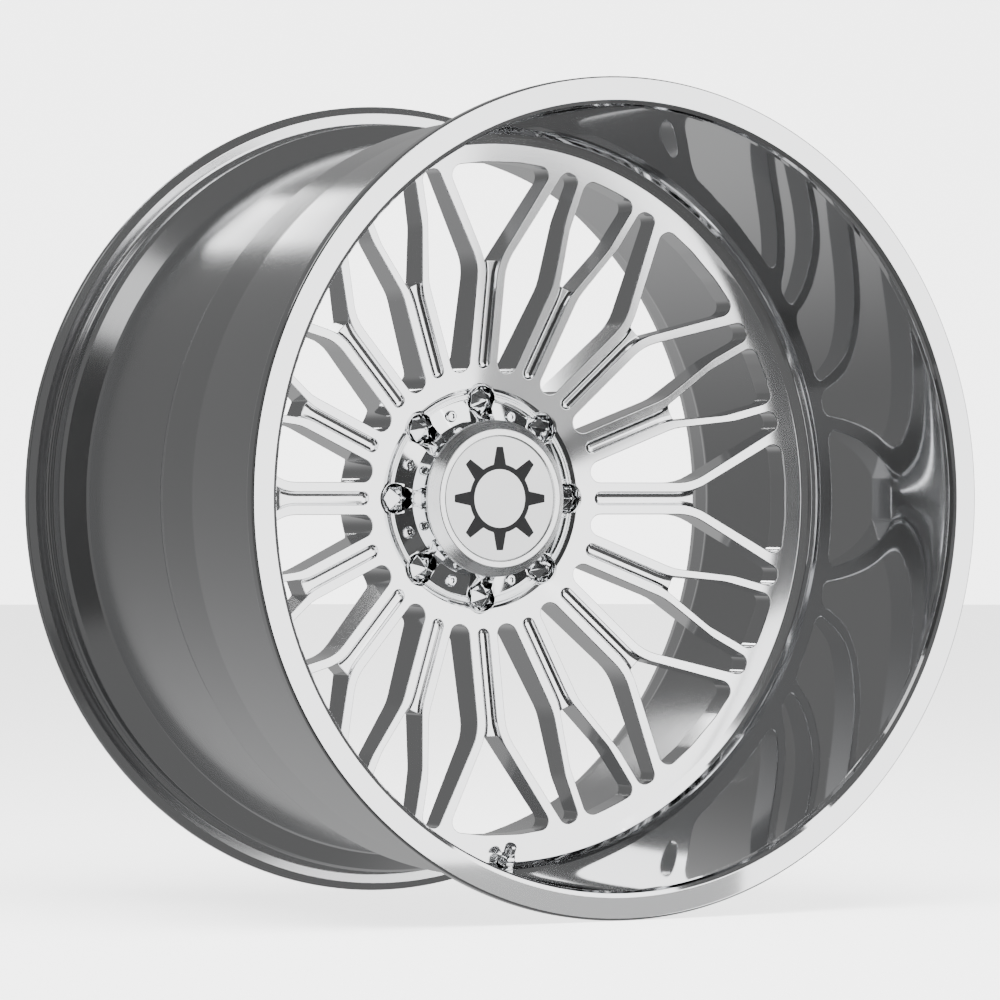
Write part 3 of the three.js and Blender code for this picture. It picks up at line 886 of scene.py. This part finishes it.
def screw(head_r, head_h, shank_r, length, seat):
    """A button-head screw: domed head over the seat, shank below it, round socket."""
    socket = 0.45 * head_r
    return turned_mesh([
        (0, seat - length),
        (shank_r, seat - length, 0.3),
        (shank_r, seat),
        (head_r, seat, 0.2),
        (head_r, seat + 0.5 * head_h, 0.9),
        (0.74 * head_r, seat + head_h, 0.5),
        (socket + 0.3, seat + head_h, 0.15),
        (socket, seat + head_h - 0.5),
        (socket, seat + 0.32 * head_h),
        (0, seat + 0.25 * head_h),
    ], 36)


def rear_screw():
    """A screw that faces the wheel's back, so it is turned over."""
    vertices, faces, normals = screw(3.6, 2.2, 2, 12, 0)
    turned_over = np.array([1, -1, -1])
    return vertices * turned_over + (0, 0, SEAT_X), faces, normals * turned_over


def lug_nut():
    """A spiked nut: round seat, soft-cornered hexagon and a six-sided spike."""
    seat_top_x = -69.9

    def shape(angle, x):
        return np.where(x > seat_top_x, hexagon(angle, 0.985), 1.0)

    return turned_mesh([
        (7, -85),
        (8.6, -81.5, 0.4),
        (12.9, -73.4, 0.5),
        (12.9, -70.6, 0.4),
        (12.1, -69.8, 0.1),
        (12.12, -31.5, 0.6),
        (11.5, -30.3, 0.4),
        (1.3, -20.9, 1.0),
        (0, -20.6),
        (0, -43),
        (7, -43),
    ], 60, chord=math.radians(25), shape=shape)


# ---------------------------------------------------------------- valve
#
# Here x runs along the valve's own axis, from its seat on the barrel out to the cap.


def on_valve(data):
    """A piece's data moved from the valve's own axis to where the valve stands."""
    vertices, faces, normals = data
    c, s = math.cos(VALVE_TILT), math.sin(VALVE_TILT)
    tilt = np.array([[1, 0, 0], [0, c, -s], [0, s, c]])
    return vertices @ tilt + VALVE_SEAT, faces, None if normals is None else normals @ tilt


def valve_cap():
    """A domed cap with knurled sides."""
    def shape(angle, x):
        knurl = 0.965 + 0.035 * np.cos(24 * angle)
        return np.where((x > 9.8) & (x < 16.4), knurl, 1)

    side = [(5, 9.2 + 0.6 * k) for k in range(1, 12)]
    top = [(5, 16.9, 0.5), (3.9, 18.4, 1.2), (0, 18.6), (0, 17.2), (4.4, 17.2)]
    return turned_mesh([(4.4, 9.2), *side, *top], 144, shape=shape)


def valve_nut():
    """A soft-cornered hexagon nut."""
    return turned_mesh(
        [(4.3, 1.9), (6.93, 1.9, 0.2), (6.93, 6.9, 0.5), (5.9, 7.6, 0.3), (4.3, 7.6)],
        60, chord=math.radians(30), shape=lambda angle, x: hexagon(angle, 0.98),
    )


def coil(radius, wire, low, high, turns):
    """A round wire wound into a spring."""
    around, along = 8, 16 * turns
    vertices, faces = [], []
    for i in range(along + 1):
        a = 2 * math.pi * turns * i / along
        middle = low + (high - low) * i / along
        for k in range(around):
            b = 2 * math.pi * k / around
            reach = radius + wire * math.cos(b)
            vertices.append((reach * math.cos(a), reach * math.sin(a), middle + wire * math.sin(b)))
    for i in range(along):
        for k in range(around):
            m = (k + 1) % around
            faces.append([i * around + k, (i + 1) * around + k, (i + 1) * around + m, i * around + m])
    return np.array(vertices), faces, None


VALVE_STEM = [
    (2.7, -14.4),
    (8.2, -14.4, 0.5),
    (8.2, -12, 0.4),
    (4.1, -11.2),
    (4.1, 14.4, 0.3),
    (3.6, 15, 0.2),
    (2.7, 15),
]
GROMMET = [(4.2, -11.1), (8.4, -11.8, 0.5), (8.4, -9.6), (5.5, -9.5), (5.5, -0.1), (4.2, -0.1)]
WASHER = [(4.2, 0.1), (8.3, 0.1, 0.2), (8.3, 1.5, 0.4), (7.6, 1.8, 0.3), (4.2, 1.8)]
CORE_BODY = [(0.8, 4), (2.4, 4), (2.4, 12, 0.2), (1.9, 12), (1.9, 5), (0.8, 5)]
CORE_PIN = [
    (0, 2.6),
    (0.5, 2.6),
    (0.5, 10),
    (1.5, 10, 0.1),
    (1.5, 10.9, 0.2),
    (0.6, 11.2),
    (0.6, 13.4, 0.2),
    (0, 13.6),
]
CAP_SEAL = [(0, 15.3), (4.1, 15.3, 0.2), (4.1, 16.9, 0.2), (0, 16.9)]

# ---------------------------------------------------------------- pieces


def add(name, data, material, node, body="root"):
    """Makes one piece, puts it on its body and lets it stand for its CAD node."""
    thing = make(name, *data, material)
    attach(thing, body)
    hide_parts(node)
    return thing


def satin_outside(thing):
    """Gives the outside of the lip's barrel, inboard of the flange, the rear barrel's finish."""
    thing.data.materials.append(BARREL)
    for face in thing.data.polygons:
        faces_out = face.center.x * face.normal.x + face.center.z * face.normal.z > 0
        if faces_out and -face.center.y < FLANGE_X * MM:
            face.material_index = 1


add("forged_disc", wheel_disc(), POLISHED, "wheel_disc")
lip_barrel = add("forged_lip_barrel", outer_barrel(), MIRROR, "outer_barrel")
satin_outside(lip_barrel)
add("forged_rear_barrel", inner_barrel(), BARREL, "inner_barrel")
add("cap_flange", cap_base(), CHROME, "cap_base")
add("cap_crown", cap_dome(), BRUSHED, "cap_dome")
add("cap_disc", medallion(), PLATE, "cap_medallion")
add("cap_mark", inlay(), ENAMEL, "cap_inlay")
add("cap_seal_ring", o_ring(), RUBBER, "cap_o_ring")

cap_screw = screw(5.25, 2.8, 2.4, 14, CAP_FLOOR_X + 0.1)
nut = lug_nut()
for i in range(LUGS):
    angle = 2 * STEP * i
    data = moved_round(cap_screw, CAP_SCREW_R, angle + STEP)
    add(f"button_screw_{i + 1}", data, CHROME, f"cap_screw_{i + 1}")
    data = moved_round(nut, LUG_R, angle)
    add(f"spiked_nut_{i + 1}", data, CHROME, f"lug_nut_{i + 1}", f"lug_nut_{i + 1}")

for i in range(4):
    data = moved_round(rear_screw(), REAR_SCREW_R, math.pi / 2 * i)
    add(f"rear_screw_{i + 1}", data, STEEL, f"cap_rear_screw_{i + 1}")

add("stem", on_valve(turned_mesh(VALVE_STEM, 48)), STEEL, "valve_stem")
add("stem_grommet", on_valve(turned_mesh(GROMMET, 48)), RUBBER, "valve_grommet")
add("stem_washer", on_valve(turned_mesh(WASHER, 64)), CHROME, "valve_washer")
add("stem_nut", on_valve(valve_nut()), CHROME, "valve_nut")
add("core_tube", on_valve(turned_mesh(CORE_BODY, 32)), BRASS, "valve_core_body")
add("core_coil", on_valve(coil(1.2, 0.2, 5.3, 8.4, 5)), STEEL, "valve_core_spring")
add("core_pin", on_valve(turned_mesh(CORE_PIN, 24)), BRASS, "valve_core_pin", "valve_core_pin")
add("stem_cap", on_valve(valve_cap()), CHROME, "valve_cap", "valve_cap")
cap_seal = on_valve(turned_mesh(CAP_SEAL, 32))
add("stem_cap_seal", cap_seal, RUBBER, "valve_cap_seal", "valve_cap_seal")

# ---------------------------------------------------------------- stage

FLOOR_Z = -FLANGE_R * MM
FLOOR_HALF = 14
WALL_R = 14
WALL_TOP = 14
WALL_PANELS = 36
CAMERA_PLACE = (-2.4061, -4.1928, -0.0013)
CAMERA_LENS = 201.85
VIEW = Vector((0.4979, 0.8672, 0)).normalized()  # the way the camera looks
UP = Vector((0, 0, 1))


def flat_colour(name, grey, roughness, glow=0.0):
    """A plain grey for the stage. glow is the light it gives off by itself."""
    nodes = Nodes(name)
    nodes.shader.inputs["Emission Color"].default_value = (1, 1, 1, 1)
    nodes.shader.inputs["Emission Strength"].default_value = glow
    nodes.shader.inputs["Base Color"].default_value = (grey, grey, grey, 1)
    nodes.shader.inputs["Roughness"].default_value = roughness
    return nodes.material


def plane(name, corners, material):
    """A flat face that belongs to the stage."""
    mesh = bpy.data.meshes.new(name)
    mesh.from_pydata(corners, [], [list(range(len(corners)))])
    mesh.materials.append(material)
    thing = bpy.data.objects.new(name, mesh)
    bpy.context.scene.collection.objects.link(thing)
    return thing


def card(name, corners, material):
    """A card that only the metal's reflections see."""
    thing = plane(name, corners, material)
    thing.visible_camera = False
    thing.visible_diffuse = False
    thing.visible_shadow = False


def level(left, right, near, far, z):
    """The corners of a level rectangle."""
    return [(left, near, z), (right, near, z), (right, far, z), (left, far, z)]


def upright(first, last, low, high, distance):
    """The corners of an upright rectangle between two bearings and two heights.

    A bearing is in degrees from straight ahead of the wheel's face, towards the right."""
    corners = []
    for bearing, z in ((first, low), (last, low), (last, high), (first, high)):
        a = math.radians(bearing)
        corners.append((distance * math.sin(a), -distance * math.cos(a), z))
    return corners


def light(name, where, aim, size, power):
    """A rectangular lamp of a width and height, turned towards a place."""
    lamp = bpy.data.lights.new(name, "AREA")
    lamp.shape = "RECTANGLE"
    lamp.size, lamp.size_y = size
    lamp.energy = power
    thing = bpy.data.objects.new(name, lamp)
    thing.location = where
    thing.rotation_euler = (Vector(aim) - Vector(where)).to_track_quat("-Z", "Y").to_euler()
    bpy.context.scene.collection.objects.link(thing)
    return thing


# The floor and walls glow, so they look pale and even from every side. The metal doesn't mirror
# them: it mirrors the world, the lamps and the cards, whose places make its light and dark parts.
PALE = flat_colour("pale_floor", 0.88, 0.7, 2.6)
WALL = flat_colour("pale_wall", 0.88, 0.9, 3.2)
BLACK = flat_colour("black_cloth", 0.012, 0.9, 0.02)
GREY = flat_colour("grey_cloth", 0.35, 0.9)

floor = plane("floor", level(-FLOOR_HALF, FLOOR_HALF, -FLOOR_HALF, FLOOR_HALF, FLOOR_Z), PALE)
floor.visible_glossy = False
floor.visible_shadow = False
panel = 360 / WALL_PANELS
for k in range(WALL_PANELS):
    corners = upright(panel * k, panel * (k + 1), FLOOR_Z, WALL_TOP, WALL_R)
    wall = plane(f"studio_wall_{k + 1}", corners, WALL)
    wall.visible_glossy = False
    wall.visible_diffuse = False
    wall.visible_shadow = False

card("side_flag", upright(-58, -84, -3, 4, 6), BLACK)
card("near_flag", [(-0.8, -0.9, -0.9), (-0.02, -0.9, -0.9), (-0.02, -0.9, 0.7), (-0.8, -0.9, 0.7)], BLACK)
card("low_flag", level(-1.6, 0.95, -2.9, -0.6, -0.9), BLACK)
card("grey_card", upright(11, 32, -1.6, -0.5, 3.3), GREY)

# The world is brightest behind the wheel and a little below it, and dim behind the camera.
world = bpy.data.worlds.new("studio")
world.use_nodes = True
sky = world.node_tree.nodes
background = sky["Background"]
background.inputs["Color"].default_value = (1, 1, 1, 1)
towards = sky.new("ShaderNodeTexCoord")
behind = sky.new("ShaderNodeVectorMath")
behind.operation = "DOT_PRODUCT"
behind.inputs[1].default_value = (VIEW - 0.3 * UP).normalized()
glow = sky.new("ShaderNodeMapRange")
glow.interpolation_type = "SMOOTHSTEP"
glow.inputs["From Min"].default_value = 0.45
glow.inputs["To Min"].default_value = 0.14
glow.inputs["To Max"].default_value = 0.42
world.node_tree.links.new(towards.outputs["Generated"], behind.inputs[0])
world.node_tree.links.new(behind.outputs["Value"], glow.inputs["Value"])
world.node_tree.links.new(glow.outputs["Result"], background.inputs["Strength"])
bpy.context.scene.world = world

light("face_softbox", (2.78, -2.88, 1.0), (0, 0, 1.0), (3.9, 5.9), 230)
light("side_softbox", (0.69, -3.94, 1.6), (0, 0, 1.6), (1.2, 3.9), 47)
light("back_bar", (0.02, 1.9, 1.08), (-0.2, 0.12, 0.24), (0.42, 0.16), 1.4)
light("top_left_softbox", (-1.9, -0.65, 2.1), (-0.2, 0.1, 0.2), (1.0, 1.0), 3)
floor_light = light("floor_light", (-0.6, -1.0, 3.2), (0, 0.6, 0), (3.0, 3.0), 400)
floor_light.visible_glossy = False

camera = bpy.data.objects.new("camera", bpy.data.cameras.new("camera"))
camera.data.sensor_width = 36
camera.data.lens = CAMERA_LENS
camera.location = CAMERA_PLACE
camera.rotation_mode = "QUATERNION"
camera.rotation_quaternion = Matrix((VIEW.cross(UP), UP, -VIEW)).transposed().to_quaternion()
bpy.context.scene.collection.objects.link(camera)
bpy.context.scene.camera = camera
